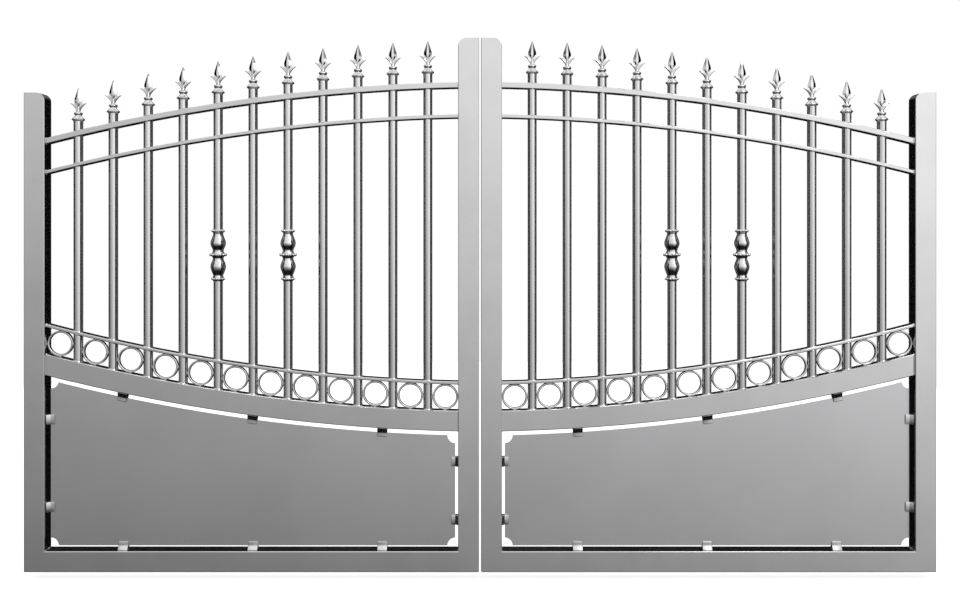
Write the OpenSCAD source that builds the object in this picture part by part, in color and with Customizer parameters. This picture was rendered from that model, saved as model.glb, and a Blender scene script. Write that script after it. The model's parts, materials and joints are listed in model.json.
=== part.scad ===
// Double-leaf swing gate: two mirrored leaves, each a welded frame of box tube with arched rails,
// round bars with spear finials, a row of rings and a sheet panel, hung on four wall brackets.
// Millimetres. The front faces -Y, the leaves open towards +Y, and Z is up.
// Everything is drawn for the left leaf, around the middle of the gate at ground-edge height,
// and then moved so that the origin lies on the wall face of the left lower bracket.

/* [Overall] */
// Width over both closed leaves
gate_w = 3500; // [2900:10:4200]
// Gap between the two meeting stiles
centre_gap = 8; // [6:1:20]
// Height of the outer (hinge) stiles
outer_h = 1840; // [1780:10:2300]
// Height of the meeting stiles
meeting_h = 2050; // [1960:10:2500]

/* [Frame tube] */
// Width of the stiles as seen from the front
stile_w = 80; // [60:1:100]
// Height of the bottom rail
bottom_rail_h = 80; // [60:1:120]
// Depth of the frame tube, front to back
frame_d = 60; // [50:1:80]
// Wall of the frame tube
frame_wall = 3; // [2:0.5:5]
// Radius along the tube's long edges
frame_round = 3; // [3:0.5:6]
// Radius of the frame's two lower corners
corner_r = 6; // [2:1:10]
// Radius of the stile tops on the side of the infill
cap_r = 32; // [12:1:40]

/* [Curves of the rails] */
// Radius of the curve that all rails follow
arc_r = 7000; // [5600:50:9000]
// How far past the gate's middle the centre of that curve lies
arc_shift = 60; // [0:5:200]

/* [Rails] */
// Depth of the rails between the stiles
rail_d = 40; // [36:1:50]
// Wall of the rail tubes
rail_wall = 2; // [1:0.5:2.5]
// Radius along the edges of the rail tubes
rail_round = 3; // [2.5:0.5:4]
// Lower edge of the middle rail at its lowest point
mid_rail_z = 536; // [400:1:700]
// Height of the middle rail
mid_rail_h = 80; // [50:1:100]
// Height of the rail above the rings
ring_rail_h = 12; // [8:1:20]
// Lower edge of the second rail at its highest point
second_rail_z = 1745; // [1500:1:1900]
// Height of the second rail
second_rail_h = 14; // [8:1:24]
// Clear height between the second rail and the top rail
top_rail_gap = 102; // [60:1:160]
// Height of the top rail
top_rail_h = 22; // [12:1:36]

/* [Bars and rings] */
// Number of bars in a leaf
bar_n = 11; // [7:1:13]
// Diameter of a bar
bar_dia = 35; // [22:1:35]
// Wall of a bar
bar_wall = 2; // [1.5:0.5:3]
// Height that a bar stands above the top rail
bar_above = 38; // [20:1:80]
// Radial thickness of a ring
ring_t = 8; // [5:1:12]
// Depth of a ring, front to back
ring_d = 16; // [10:1:30]

/* [Castings] */
// Height of a finial
finial_h = 128; // [110:1:160]
// Radius of the finial's lower collar
finial_collar_r = 24.6; // [20:0.1:30]
// Half the span of the finial's barbs
barb_reach = 31; // [24:1:38]
// Half the width of the finial's blade
blade_r = 17; // [12:1:20]
// Height of the cast knuckle on a bar
knuckle_h = 200; // [160:1:240]
// Height of the knuckles' middle
knuckle_z = 1215; // [1050:5:1350]
// Radius of the knuckle's middle collar
knuckle_collar_r = 34; // [28:0.5:38]
// Radius of the knuckle's end collars
knuckle_end_r = 27; // [24:0.5:32]
// Radius of the knuckle's bulbs
knuckle_bulb_r = 29.3; // [24:0.1:32]
// Which bars carry a knuckle, counted from the outer stile
knuckle_bars = [5, 7];

/* [Panel and clips] */
// Thickness of the panel
panel_t = 3; // [1.5:0.5:6]
// Gap between the panel and the stiles
panel_side_gap = 12; // [6:1:20]
// Gap between the panel and the bottom rail
panel_bottom_gap = 14; // [6:1:24]
// Gap between the panel and the middle rail
panel_top_gap = 19; // [8:1:28]
// Radius of the panel's hollow corners
notch_r = 30; // [15:1:45]
// Length of a clip along the frame
clip_l = 38; // [25:1:50]
// How far a clip's foot stands in front of the panel's middle
clip_front = 17; // [8:1:17]
// How far a clip reaches behind the panel's middle
clip_back = 10; // [6:1:16]
// Thickness of a clip's lip on the panel's front
clip_lip_t = 4.5; // [2:0.5:6]
// How far a clip reaches over the panel
clip_lap = 16; // [8:1:22]
// Radius of a clip's free corners
clip_round = 4; // [1:0.5:8]
// Distance of the outer top and bottom clips from the middle one
clip_spacing = 500; // [300:10:600]
// Place of the side clips, as a share of the panel's edge from its ends
clip_share = 0.235; // [0.2:0.005:0.35]

/* [Hinges] */
// Underside of the lower hinge eye
lower_hinge_z = 250; // [200:10:400]
// Underside of the upper hinge eye
upper_hinge_z = 1550; // [1300:10:1650]
// Distance of the hinge axis behind the frame
hinge_back = 24; // [22:1:40]
// Diameter of the hinge pin
pin_dia = 20; // [14:1:22]
// Outer diameter of the hinge eye
eye_dia = 40; // [34:1:44]
// Height of the hinge eye
eye_h = 45; // [30:1:60]
// Length of the eye's strap along the stile
strap_l = 70; // [50:1:78]
// Thickness of the eye's strap
strap_t = 10; // [6:1:12]
// Radius of the bracket's lug around the pin
lug_r = 18; // [14:0.5:18]
// Thickness of the bracket's lug
lug_t = 12; // [8:1:16]
// Distance from the hinge axis to the wall face
wall_gap = 35; // [30:1:60]
// Thickness of the wall plate
plate_t = 8; // [6:1:12]
// Width of the wall plate
plate_w = 80; // [70:1:120]
// Height of the wall plate
plate_h = 180; // [160:1:240]
// Distance between the wall plate's holes, front to back
bolt_y = 40; // [30:1:60]
// Distance between the wall plate's holes, up and down
bolt_z = 140; // [110:1:180]
// Diameter of the wall plate's holes
bolt_dia = 13; // [9:1:17]
// How far the wall plate starts behind the hinge axis; less than nothing is in front of it
plate_start = -8; // [-14:1:0]

/* [Clearances] */
// Play between welded pieces whose touching faces are curved
seat = 0.3; // [0.2:0.1:0.5]
// Play between a ring and its neighbours
ring_play = 0.5; // [0.3:0.1:0.8]
// Play around the pin in the eye, on the radius
pin_play = 0.05; // [0.02:0.01:0.1]

/* [Hidden] */
$fn = 64;
// Fine enough that the long curves of the rails stay smooth
ARC_FN = 720;
// Overshoot of a tool that cuts through a face
cut = 1;

METAL = [0.70, 0.70, 0.71];
CAST_METAL = [0.62, 0.62, 0.63];

leaf_w = (gate_w - centre_gap) / 2;
leaf_x = -gate_w / 2;
bay_x = leaf_x + stile_w;
bay_w = leaf_w - 2 * stile_w;
mid_y = frame_d / 2;

// The arches at the top bend upwards, about centres far below the gate.
second_rail_cz = second_rail_z - arc_r;
top_rail_cz = second_rail_cz + second_rail_h + top_rail_gap;
// The middle rail and the ring rail sag about one centre far above the gate.
sag_cz = mid_rail_z + arc_r;
mid_rail_r = arc_r - mid_rail_h;
sweep = asin((gate_w / 2 + arc_shift) / (mid_rail_r - gate_w / 10)) + 1;

bar_pitch = (bay_w - bar_n * bar_dia) / (bar_n + 1) + bar_dia;
bar_space = bar_pitch - bar_dia;
bar_r = bar_dia / 2;
bar_xs = [for (i = [1:bar_n]) bay_x + i * bar_pitch - bar_r];
ring_r = bar_space / 2 - ring_play;
ring_xs = [for (i = [0:bar_n]) bay_x + bar_space / 2 + i * bar_pitch];
ring_path_r = mid_rail_r - ring_play - ring_r;
ring_rail_r = ring_path_r - ring_r - ring_play - ring_rail_h;

panel_x = bay_x + panel_side_gap;
panel_w = bay_w - 2 * panel_side_gap;
panel_z = bottom_rail_h + panel_bottom_gap;

hinge_x = leaf_x;
hinge_y = frame_d + hinge_back;
wall_x = hinge_x - wall_gap;
plate_y = hinge_y + plate_start;
plate_mid_y = plate_y + plate_w / 2;

// Height of an upward arch of radius r about the height cz, at the place x
function arch_z(x, r, cz) = cz + sqrt(pow(r, 2) - pow(x - arc_shift, 2));
// Height of a sagging curve of radius r at the place x
function sag_z(x, r) = sag_cz - sqrt(pow(r, 2) - pow(x - arc_shift, 2));
// Height of a bar's top end
function bar_top(x) = arch_z(x, arc_r + top_rail_h, top_rail_cz) + bar_above;

// ---- placing -----------------------------------------------------------------------------------

module left() {
    translate([-wall_x, -plate_mid_y, -lower_hinge_z]) children();
}

module right() {
    left() mirror([1, 0, 0]) children();
}

// ---- shapes that repeat ------------------------------------------------------------------------

module rounded(w, h, r) {
    square([w - 2 * r, h], center = true);
    square([w, h - 2 * r], center = true);
    for (x = [-1, 1], y = [-1, 1])
        translate([x * (w / 2 - r), y * (h / 2 - r)]) circle(r);
}

module tube_section(w, h, wall, r) {
    difference() {
        rounded(w, h, r);
        rounded(w - 2 * wall, h - 2 * wall, max(r - wall, 0.5));
    }
}

// A flat outline in the front view, from y0 to y0 + d
module front_plate(y0, d) {
    translate([0, y0 + d, 0]) rotate([90, 0, 0]) linear_extrude(d) children();
}

// The middle of a leaf between its stiles
module bay() {
    translate([bay_x, 0, 0]) cube([bay_w, frame_d, meeting_h]);
}

// A curved tube of height h whose smaller radius is r, turned from the angle start
module curved_tube(r, h, cz, start) {
    translate([arc_shift, mid_y, cz]) rotate([90, 0, 0]) rotate([0, 0, start])
        rotate_extrude(angle = sweep, $fn = ARC_FN)
            translate([r + h / 2, 0]) tube_section(h, rail_d, rail_wall, rail_round);
}

module arched_rail(r, h, cz) {
    intersection() {
        curved_tube(r, h, cz, 90);
        bay();
    }
}

module sagging_rail(r, h) {
    intersection() {
        curved_tube(r, h, sag_cz, 270 - sweep);
        bay();
    }
}

// Holes that let the bars through a rail
module bar_holes() {
    for (x = bar_xs)
        translate([x, mid_y, sag_z(x, mid_rail_r)])
            cylinder(r = bar_r + seat, h = bar_top(x) - sag_z(x, mid_rail_r));
}

// ---- frame -------------------------------------------------------------------------------------

// Outline that the frame tubes are mitred and rounded to at the lower corners
module lower_corner_block(w, h) {
    translate([corner_r, 0]) square([w - 2 * corner_r, h]);
    translate([0, corner_r]) square([w, h - corner_r]);
    for (x = [corner_r, w - corner_r]) translate([x, corner_r]) circle(corner_r);
}

// A stile seen from the front: x runs from its outer side to the infill
module stile(h) {
    tube_h = h - cap_r;
    intersection() {
        translate([stile_w / 2, mid_y, 0]) linear_extrude(tube_h)
            tube_section(stile_w, frame_d, frame_wall, frame_round);
        front_plate(-cut, frame_d + 2 * cut) intersection() {
            lower_corner_block(leaf_w, tube_h);
            polygon([[0, 0], [stile_w, bottom_rail_h], [stile_w, tube_h], [0, tube_h]]);
        }
    }
}

module outer_stile() {
    color(METAL) translate([leaf_x, 0, 0]) stile(outer_h);
}

module meeting_stile() {
    color(METAL) translate([leaf_x + leaf_w, 0, 0]) mirror([1, 0, 0]) stile(meeting_h);
}

module bottom_rail() {
    color(METAL) translate([leaf_x, 0, 0]) intersection() {
        translate([0, mid_y, bottom_rail_h / 2]) rotate([90, 0, 90]) linear_extrude(leaf_w)
            tube_section(frame_d, bottom_rail_h, frame_wall, frame_round);
        front_plate(-cut, frame_d + 2 * cut) intersection() {
            lower_corner_block(leaf_w, bottom_rail_h);
            polygon([[0, 0], [leaf_w, 0], [leaf_w - stile_w, bottom_rail_h], [stile_w, bottom_rail_h]]);
        }
    }
}

// Front outline of a stile cap, or of its hollow when inset by the wall
module cap_outline(inset) {
    translate([inset, 0]) square([stile_w - cap_r - inset, cap_r - inset]);
    intersection() {
        translate([stile_w - cap_r, 0]) circle(cap_r - inset);
        translate([stile_w - cap_r - cut, 0]) square([cap_r + cut, cap_r]);
    }
}

module cap_body(inset, round) {
    intersection() {
        front_plate(-cut, frame_d + 2 * cut) cap_outline(inset);
        translate([stile_w / 2, mid_y, 0]) linear_extrude(cap_r)
            rounded(stile_w - 2 * inset, frame_d - 2 * inset, round);
    }
}

module cap() {
    difference() {
        cap_body(0, frame_round);
        cap_body(frame_wall, max(frame_round - frame_wall, 0.5));
    }
}

module stile_caps() {
    color(METAL) {
        translate([leaf_x, 0, outer_h - cap_r]) cap();
        translate([leaf_x + leaf_w, 0, meeting_h - cap_r]) mirror([1, 0, 0]) cap();
    }
}

// ---- rails -------------------------------------------------------------------------------------

module mid_rail() {
    color(METAL) sagging_rail(mid_rail_r, mid_rail_h);
}

module ring_rail() {
    color(METAL) difference() {
        sagging_rail(ring_rail_r, ring_rail_h);
        bar_holes();
    }
}

module second_rail() {
    color(METAL) difference() {
        arched_rail(arc_r, second_rail_h, second_rail_cz);
        bar_holes();
    }
}

module top_rail() {
    color(METAL) difference() {
        arched_rail(arc_r, top_rail_h, top_rail_cz);
        bar_holes();
    }
}

// ---- infill ------------------------------------------------------------------------------------

// Tubes whose lower ends are cut to the slope of the middle rail
module bars() {
    color(METAL) for (x = bar_xs) {
        foot_z = sag_z(x, mid_rail_r) - bar_r;
        difference() {
            translate([x, mid_y, foot_z]) cylinder(r = bar_r, h = bar_top(x) - foot_z);
            translate([x, mid_y, foot_z - cut])
                cylinder(r = bar_r - bar_wall, h = bar_top(x) - foot_z + 2 * cut);
            on_sag(x, mid_rail_r - seat) translate([-bar_dia, -cut, -2 * bar_dia])
                cube([2 * bar_dia, frame_d + 2 * cut, 2 * bar_dia]);
        }
    }
}

// Sets a piece square to the sagging curve of radius r at the place x
module on_sag(x, r) {
    translate([arc_shift, 0, sag_cz]) rotate([0, -asin((x - arc_shift) / r), 0])
        translate([0, 0, -r]) children();
}

module rings() {
    color(METAL) for (x = ring_xs)
        translate([x, mid_y + ring_d / 2, sag_z(x, ring_path_r)]) rotate([90, 0, 0]) difference() {
            cylinder(r = ring_r, h = ring_d);
            translate([0, 0, -cut]) cylinder(r = ring_r - ring_t, h = ring_d + 2 * cut);
        }
}

// Half outline of the finial's turned foot: collar, skirt, neck and bead, from the bar's end up
FOOT_RIM_R = 5;
FOOT_BEAD_R = 6;
FOOT_NECK_R = 11.3;
FOOT_STEM_R = 6;
FOOT_RIM_TOP = 2 * FOOT_RIM_R;
FOOT_NECK_Z = FOOT_RIM_TOP + 6;
FOOT_BEAD_Z = FOOT_NECK_Z + 12;
FOOT_H = FOOT_BEAD_Z + FOOT_BEAD_R + 3;

module finial_foot() {
    rotate_extrude() {
        square([finial_collar_r - FOOT_RIM_R, FOOT_RIM_TOP]);
        translate([finial_collar_r - FOOT_RIM_R, FOOT_RIM_R]) intersection() {
            circle(FOOT_RIM_R);
            translate([-cut, -FOOT_RIM_R]) square([FOOT_RIM_R + cut, 2 * FOOT_RIM_R]);
        }
        polygon([[0, FOOT_RIM_R], [finial_collar_r - FOOT_RIM_R, FOOT_RIM_TOP - cut],
            [FOOT_NECK_R, FOOT_NECK_Z], [FOOT_NECK_R, FOOT_BEAD_Z], [0, FOOT_BEAD_Z]]);
        intersection() {
            translate([FOOT_NECK_R - cut, FOOT_BEAD_Z]) circle(FOOT_BEAD_R);
            translate([0, FOOT_NECK_Z]) square([finial_collar_r, FOOT_H]);
        }
        square([FOOT_STEM_R, FOOT_H + cut]);
        translate([0, FOOT_BEAD_Z]) square([FOOT_NECK_R - cut, FOOT_BEAD_R]);
    }
}

// The barbs flare out of the stem along two hollow curves, and dip between their tips and the blade
BARB_H = 32;
BARB_D = 10;
BARB_DIP = 6;
BARB_TIP_SHARE = 0.95;
module finial_barbs() {
    flare = barb_reach - FOOT_STEM_R;
    flare_r = (pow(flare, 2) + pow(BARB_H, 2)) / (2 * flare);
    front_plate(-BARB_D / 2, BARB_D) difference() {
        translate([-barb_reach, FOOT_H]) square([2 * barb_reach, BARB_H]);
        for (side = [-1, 1]) {
            translate([side * (FOOT_STEM_R + flare_r), FOOT_H]) circle(flare_r);
            polygon([[side * barb_reach, FOOT_H + BARB_H + cut],
                [side * barb_reach * BARB_TIP_SHARE, FOOT_H + BARB_H],
                [side * barb_reach / 2, FOOT_H + BARB_H - BARB_DIP],
                [side * blade_r / 2, FOOT_H + BARB_H + cut]]);
        }
    }
}

// A blade of diamond section: two silhouettes crossed on the diagonals
BLADE_FOOT_R = 4;
BLADE_WAIST_R = 10;
BLADE_TIP_R = 0.8;
BLADE_SHOULDER_H = 10;
module finial_blade() {
    foot = FOOT_H + BARB_H / 2;
    waist = FOOT_H + BARB_H;
    shoulder = waist + BLADE_SHOULDER_H;
    k = 1 / sqrt(2);
    intersection_for(turn = [45, 135])
        rotate([0, 0, turn]) front_plate(-blade_r, 2 * blade_r) scale([k, 1])
            polygon([[-BLADE_FOOT_R, foot], [BLADE_FOOT_R, foot], [BLADE_WAIST_R, waist],
                [blade_r, shoulder], [BLADE_TIP_R, finial_h], [-BLADE_TIP_R, finial_h],
                [-blade_r, shoulder], [-BLADE_WAIST_R, waist]]);
}

module finial() {
    finial_foot();
    finial_barbs();
    finial_blade();
}

module finials() {
    color(CAST_METAL) for (x = bar_xs) translate([x, mid_y, bar_top(x)]) finial();
}

// A cast sleeve on a bar: three collars and two bulbs, alike above and below its middle. The bulbs'
// place and half length are shares of the whole height.
KNUCKLE_BULB_PLACE = 0.235;
KNUCKLE_BULB_LENGTH = 0.155;
KNUCKLE_WALL = 2;
module knuckle() {
    rim = 5;
    middle_rim = 6;
    waist_r = bar_r + KNUCKLE_WALL;
    bulb_z = knuckle_h * KNUCKLE_BULB_PLACE;
    bulb_l = knuckle_h * KNUCKLE_BULB_LENGTH;
    swell = knuckle_bulb_r - waist_r;
    swell_r = (pow(bulb_l, 2) + pow(swell, 2)) / (2 * swell);
    rotate_extrude() difference() {
        union() {
            translate([0, -knuckle_h / 2]) square([waist_r, knuckle_h]);
            square([2 * (knuckle_collar_r - middle_rim), 2 * middle_rim], center = true);
            translate([knuckle_collar_r - middle_rim, 0]) circle(middle_rim);
            for (side = [-1, 1]) {
                translate([0, side * (knuckle_h / 2 - 2 * rim)]) {
                    square([2 * (knuckle_end_r - rim), 2 * rim], center = true);
                    translate([knuckle_end_r - rim, 0]) circle(rim);
                }
                intersection() {
                    translate([knuckle_bulb_r - swell_r, side * bulb_z]) circle(swell_r);
                    translate([0, side * bulb_z - bulb_l]) square([knuckle_bulb_r + cut, 2 * bulb_l]);
                }
            }
        }
        translate([-2 * knuckle_collar_r, -knuckle_h])
            square([2 * knuckle_collar_r + bar_r + seat, 2 * knuckle_h]);
    }
}

module knuckles() {
    color(CAST_METAL) for (i = knuckle_bars)
        translate([bar_xs[i - 1], mid_y, knuckle_z]) knuckle();
}

// ---- panel -------------------------------------------------------------------------------------

module panel() {
    top_r = arc_r + panel_top_gap;
    color(METAL) front_plate(mid_y - panel_t / 2, panel_t) difference() {
        translate([panel_x, panel_z]) square([panel_w, sag_z(panel_x, top_r)]);
        translate([arc_shift, sag_cz]) circle(top_r, $fn = ARC_FN);
        for (x = [panel_x, panel_x + panel_w]) {
            translate([x, panel_z]) circle(notch_r);
            translate([x, sag_z(x, top_r)]) circle(notch_r);
        }
    }
}

// A clip as seen from the front: it stands on the frame at z = 0, reaches up over the panel's edge
// and holds it in a slot. Its front slopes from a thin lip on the panel out to a thick foot on the
// frame. gap is the distance from the frame to the panel.
module clip(gap) {
    reach = gap + clip_lap;
    foot_y = mid_y - clip_front;
    lip_y = mid_y - panel_t / 2 - clip_lip_t;
    back_y = mid_y + clip_back;
    difference() {
        intersection() {
            front_plate(foot_y - cut, back_y - foot_y + 2 * cut) {
                translate([-clip_l / 2, seat]) square([clip_l, reach - clip_round - seat]);
                translate([-clip_l / 2 + clip_round, seat])
                    square([clip_l - 2 * clip_round, reach - seat]);
                for (x = [-1, 1]) translate([x * (clip_l / 2 - clip_round), reach - clip_round])
                    circle(clip_round);
            }
            translate([-clip_l, 0, 0]) rotate([90, 0, 90]) linear_extrude(2 * clip_l)
                polygon([[foot_y, 0], [lip_y, gap], [lip_y, reach + cut], [back_y, reach + cut],
                    [back_y, 0]]);
        }
        translate([-clip_l, mid_y - panel_t / 2 - seat, gap - seat])
            cube([2 * clip_l, panel_t + 2 * seat, reach]);
    }
}

clip_xs = [for (i = [-1:1]) leaf_x + leaf_w / 2 + i * clip_spacing];

module bottom_clips() {
    color(METAL) for (x = clip_xs) translate([x, 0, bottom_rail_h]) clip(panel_bottom_gap);
}

// These hang square to the curve of the middle rail
module top_clips() {
    color(METAL) for (x = clip_xs) on_sag(x, arc_r) mirror([0, 0, 1]) clip(panel_top_gap);
}

// Two clips on one stile face: side is 1 where the panel lies towards +x
module edge_clips(x, panel_edge, side) {
    edge_h = sag_z(panel_edge, arc_r + panel_top_gap) - panel_z;
    for (share = [clip_share, 1 - clip_share])
        translate([x, 0, panel_z + share * edge_h]) rotate([0, side * 90, 0]) clip(panel_side_gap);
}

module side_clips() {
    color(METAL) {
        edge_clips(bay_x, panel_x, 1);
        edge_clips(bay_x + bay_w, panel_x + panel_w, -1);
    }
}

// ---- hinges ------------------------------------------------------------------------------------

// The eye on the leaf: a bored barrel with a strap along the back of the stile
module hinge_eye(z) {
    color(METAL) difference() {
        union() {
            translate([hinge_x, hinge_y, z]) cylinder(d = eye_dia, h = eye_h);
            translate([hinge_x, frame_d, z]) cube([strap_l, strap_t, eye_h]);
        }
        translate([hinge_x, hinge_y, z - cut])
            cylinder(r = pin_dia / 2 + pin_play, h = eye_h + 2 * cut);
    }
}

// The bracket on the wall: a drilled plate, a lug under the eye, and a rib under the lug
module bracket(z) {
    rib_t = 10;
    plate_margin = 20;
    rib_h = plate_h / 2 - lug_t - plate_margin;
    lug_z = z - seat - lug_t;
    color(METAL) difference() {
        union() {
            translate([wall_x, plate_y, z - plate_h / 2]) cube([plate_t, plate_w, plate_h]);
            translate([hinge_x, hinge_y, lug_z]) cylinder(r = lug_r, h = lug_t);
            translate([wall_x + plate_t / 2, plate_y, lug_z])
                cube([wall_gap - plate_t / 2, lug_r - plate_start, lug_t]);
            translate([0, hinge_y + lug_r - rib_t, 0]) front_plate(0, rib_t)
                polygon([[wall_x + plate_t / 2, lug_z + cut], [hinge_x, lug_z + cut],
                    [hinge_x, lug_z - cut], [wall_x + plate_t, lug_z - rib_h],
                    [wall_x + plate_t / 2, lug_z - rib_h]]);
        }
        translate([hinge_x, hinge_y, lug_z - plate_h]) cylinder(r = pin_dia / 2 + seat / 3, h = 2 * plate_h);
        for (y = [-1, 1], dz = [-1, 1])
            translate([wall_x - cut, plate_mid_y + y * bolt_y / 2, z + dz * bolt_z / 2])
                rotate([0, 90, 0]) cylinder(d = bolt_dia, h = plate_t + 2 * cut);
    }
}

// The pin stands in the lug and ends above the eye
module pin(z) {
    stand_out = 6;
    foot_z = z - seat - lug_t;
    color(METAL) translate([hinge_x, hinge_y, foot_z])
        cylinder(d = pin_dia, h = lug_t + seat + eye_h + stand_out);
}

left() bracket(lower_hinge_z);  // left_lower_bracket
left() bracket(upper_hinge_z);  // left_upper_bracket
right() bracket(lower_hinge_z);  // right_lower_bracket
right() bracket(upper_hinge_z);  // right_upper_bracket
left() pin(lower_hinge_z);  // left_lower_pin
left() pin(upper_hinge_z);  // left_upper_pin
right() pin(lower_hinge_z);  // right_lower_pin
right() pin(upper_hinge_z);  // right_upper_pin

left() outer_stile();  // left_outer_stile
left() meeting_stile();  // left_meeting_stile
left() bottom_rail();  // left_bottom_rail
left() stile_caps();  // left_stile_caps
left() mid_rail();  // left_mid_rail
left() ring_rail();  // left_ring_rail
left() second_rail();  // left_second_rail
left() top_rail();  // left_top_rail
left() bars();  // left_bars
left() finials();  // left_finials
left() knuckles();  // left_knuckles
left() rings();  // left_rings
left() panel();  // left_panel
left() top_clips();  // left_top_clips
left() bottom_clips();  // left_bottom_clips
left() side_clips();  // left_side_clips
left() hinge_eye(lower_hinge_z);  // left_lower_hinge_eye
left() hinge_eye(upper_hinge_z);  // left_upper_hinge_eye

right() outer_stile();  // right_outer_stile
right() meeting_stile();  // right_meeting_stile
right() bottom_rail();  // right_bottom_rail
right() stile_caps();  // right_stile_caps
right() mid_rail();  // right_mid_rail
right() ring_rail();  // right_ring_rail
right() second_rail();  // right_second_rail
right() top_rail();  // right_top_rail
right() bars();  // right_bars
right() finials();  // right_finials
right() knuckles();  // right_knuckles
right() rings();  // right_rings
right() panel();  // right_panel
right() top_clips();  // right_top_clips
right() bottom_clips();  // right_bottom_clips
right() side_clips();  // right_side_clips
right() hinge_eye(lower_hinge_z);  // right_lower_hinge_eye
right() hinge_eye(upper_hinge_z);  // right_upper_hinge_eye
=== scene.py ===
"""Looks of a double-leaf swing gate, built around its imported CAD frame.

The bars, castings, rings, clips, hinges and welds get their finished meshes here, and every
surface its satin silver-grey finish. Places and sizes come from the frame's own nodes.
"""

from __future__ import annotations

import json
import logging
import math
from dataclasses import dataclass
from enum import Enum
from typing import Any, Iterable, Sequence

import bmesh
import bpy
import numpy as np
from mathutils import Matrix, Vector

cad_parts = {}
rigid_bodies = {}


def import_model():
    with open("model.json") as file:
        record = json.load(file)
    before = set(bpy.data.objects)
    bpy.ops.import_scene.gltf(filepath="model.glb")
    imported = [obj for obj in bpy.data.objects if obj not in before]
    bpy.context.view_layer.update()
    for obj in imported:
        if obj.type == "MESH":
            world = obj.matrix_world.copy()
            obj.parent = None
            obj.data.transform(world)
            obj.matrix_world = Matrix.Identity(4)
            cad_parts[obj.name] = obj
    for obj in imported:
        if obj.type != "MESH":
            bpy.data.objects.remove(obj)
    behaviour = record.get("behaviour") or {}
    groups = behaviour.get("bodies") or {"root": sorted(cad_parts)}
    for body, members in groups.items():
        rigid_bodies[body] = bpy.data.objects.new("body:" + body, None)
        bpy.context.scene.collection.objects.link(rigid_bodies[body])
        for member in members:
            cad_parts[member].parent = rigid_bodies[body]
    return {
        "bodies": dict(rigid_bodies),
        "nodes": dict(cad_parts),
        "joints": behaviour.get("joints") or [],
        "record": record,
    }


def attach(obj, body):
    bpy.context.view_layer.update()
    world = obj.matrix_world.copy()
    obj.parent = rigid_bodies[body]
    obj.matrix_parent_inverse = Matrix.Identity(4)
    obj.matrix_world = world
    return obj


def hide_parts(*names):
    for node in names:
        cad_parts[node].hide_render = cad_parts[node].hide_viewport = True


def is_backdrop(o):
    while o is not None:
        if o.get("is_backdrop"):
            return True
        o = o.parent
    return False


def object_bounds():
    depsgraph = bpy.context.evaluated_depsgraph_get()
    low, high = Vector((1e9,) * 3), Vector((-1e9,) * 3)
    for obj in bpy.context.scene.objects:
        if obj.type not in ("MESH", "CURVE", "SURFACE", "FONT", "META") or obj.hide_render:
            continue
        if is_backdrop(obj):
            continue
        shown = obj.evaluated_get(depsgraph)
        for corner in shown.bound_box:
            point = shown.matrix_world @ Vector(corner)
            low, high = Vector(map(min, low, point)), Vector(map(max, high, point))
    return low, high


LOG = logging.getLogger("gate")
MM = 0.001
SHARP_EDGE = math.radians(25)  # edges above this angle get rounded
FLAT_ANGLE = math.radians(1)  # faces within this angle count as one
CAD_MERGE = MM / 50
POLE_MERGE = MM / 100
WHITE = (1.0, 1.0, 1.0, 1.0)
Profile = Sequence[tuple[float, float]]
Levels = Sequence[tuple[float, float, float]]


class Side(Enum):
    """The two leaves, seen from the front."""

    LEFT = "left"
    RIGHT = "right"

    @property
    def body(self) -> str:
        """Name of the moving body of this leaf."""
        return f"{self.value}_leaf"

    def node(self, piece: str) -> str:
        """Name of this leaf's CAD node or piece."""
        return f"{self.value}_{piece}"


class Level(Enum):
    """The two hinges of a leaf."""

    LOWER = "lower"
    UPPER = "upper"


# ---- measuring the frame -------------------------------------------------------------------


@dataclass(frozen=True)
class Solid:
    """The vertices of one solid of a CAD node, in metres."""

    points: np.ndarray

    @property
    def low(self) -> Vector:
        """Lowest corner of the box."""
        return Vector(self.points.min(0))

    @property
    def high(self) -> Vector:
        """Highest corner of the box."""
        return Vector(self.points.max(0))

    @property
    def mid(self) -> Vector:
        """Centre of the box."""
        return (self.low + self.high) / 2

    @property
    def size(self) -> Vector:
        """Lengths of the box's edges."""
        return self.high - self.low


def points_of(node: str) -> np.ndarray:
    """Reads the vertices of a CAD node.

    Args:
        node: name of the node.

    Returns:
        One row of x, y and z for each vertex, in metres.
    """
    mesh = bpy.data.objects[node].data
    flat = np.empty(len(mesh.vertices) * 3, np.float32)
    mesh.vertices.foreach_get("co", flat)
    return flat.reshape(-1, 3).astype(float)


def solids_of(node: str, gap: float = 20 * MM) -> list[Solid]:
    """Finds the solids of a CAD node that lie apart along X.

    Args:
        node: name of the node.
        gap: least distance between two solids.

    Returns:
        The solids, from left to right.
    """
    points = points_of(node)
    ordered = points[np.argsort(points[:, 0], kind="stable")]
    breaks = np.nonzero(np.diff(ordered[:, 0]) > gap)[0] + 1
    return [Solid(part) for part in np.split(ordered, breaks)]


@dataclass(frozen=True)
class Slope:
    """A place where a bar meets a rail: its height, and how far it rises along X."""

    height: float
    rise: float

    def matrix(self, x: float, y: float) -> Matrix:
        """Places a flat piece at this height, tilted with the rail."""
        tilt = Matrix.Rotation(-math.atan(self.rise), 4, "Y")
        return Matrix.Translation((x, y, self.height)) @ tilt


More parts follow.
